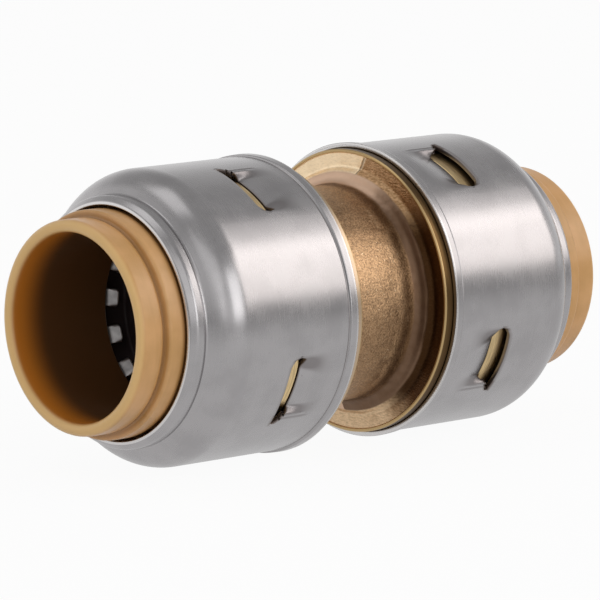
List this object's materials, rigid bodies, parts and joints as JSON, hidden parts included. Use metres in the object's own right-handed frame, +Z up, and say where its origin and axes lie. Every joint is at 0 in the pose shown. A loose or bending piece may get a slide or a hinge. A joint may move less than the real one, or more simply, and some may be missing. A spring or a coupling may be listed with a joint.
{
  "type": "push fit coupling",
  "caption": "Straight push-fit coupling: forged brass body, drawn steel retaining caps and sliding release collars, joining two tubes of one size end to end.",
  "frame": {"origin": "middle of the coupling, on its axis", "axes": "+X along the coupling's axis, from the left socket to the right one; +Z up, with the coupling lying on its side; -Y is the side that the front views show"},
  "size_m": [0.0538, 0.0264, 0.0264],
  "materials": {
    "forged_brass": "grit-blasted forging, turned and bright on the flange rims",
    "stainless_sheet": "satin, brushed around the axis",
    "spring_steel": "plain stamped strip",
    "tan_plastic": "satin moulded",
    "black_plastic": "satin moulded",
    "seal_rubber": "smooth, lightly greased"
  },
  "bodies": {
    "body": {"brass_body": "forged_brass", "left_o_ring": "seal_rubber", "right_o_ring": "seal_rubber", "left_o_ring_protector": "black_plastic", "right_o_ring_protector": "black_plastic"},
    "left_cap": {"left_retaining_cap": "stainless_sheet", "left_grab_ring": "spring_steel"},
    "right_cap": {"right_retaining_cap": "stainless_sheet", "right_grab_ring": "spring_steel"},
    "left_collar": {"left_release_collar": "tan_plastic"},
    "right_collar": {"right_release_collar": "tan_plastic"}
  },
  "joints": [
    {"name": "left_cap_swivel", "type": "hinge", "parent": "body", "child": "left_cap", "pos_m": [-0.012, 0, 0], "axis": [1, 0, 0], "continuous": true},
    {"name": "right_cap_swivel", "type": "hinge", "parent": "body", "child": "right_cap", "pos_m": [0.012, 0, 0], "axis": [1, 0, 0], "continuous": true},
    {"name": "left_collar_press", "type": "slide", "parent": "left_cap", "child": "left_collar", "axis": [1, 0, 0], "range_m": [0, 0.0022], "stiffness_N_per_m": 1500, "deforming": ["left_grab_ring"]},
    {"name": "right_collar_press", "type": "slide", "parent": "right_cap", "child": "right_collar", "axis": [-1, 0, 0], "range_m": [0, 0.0022], "stiffness_N_per_m": 1500, "deforming": ["right_grab_ring"]}
  ]
}
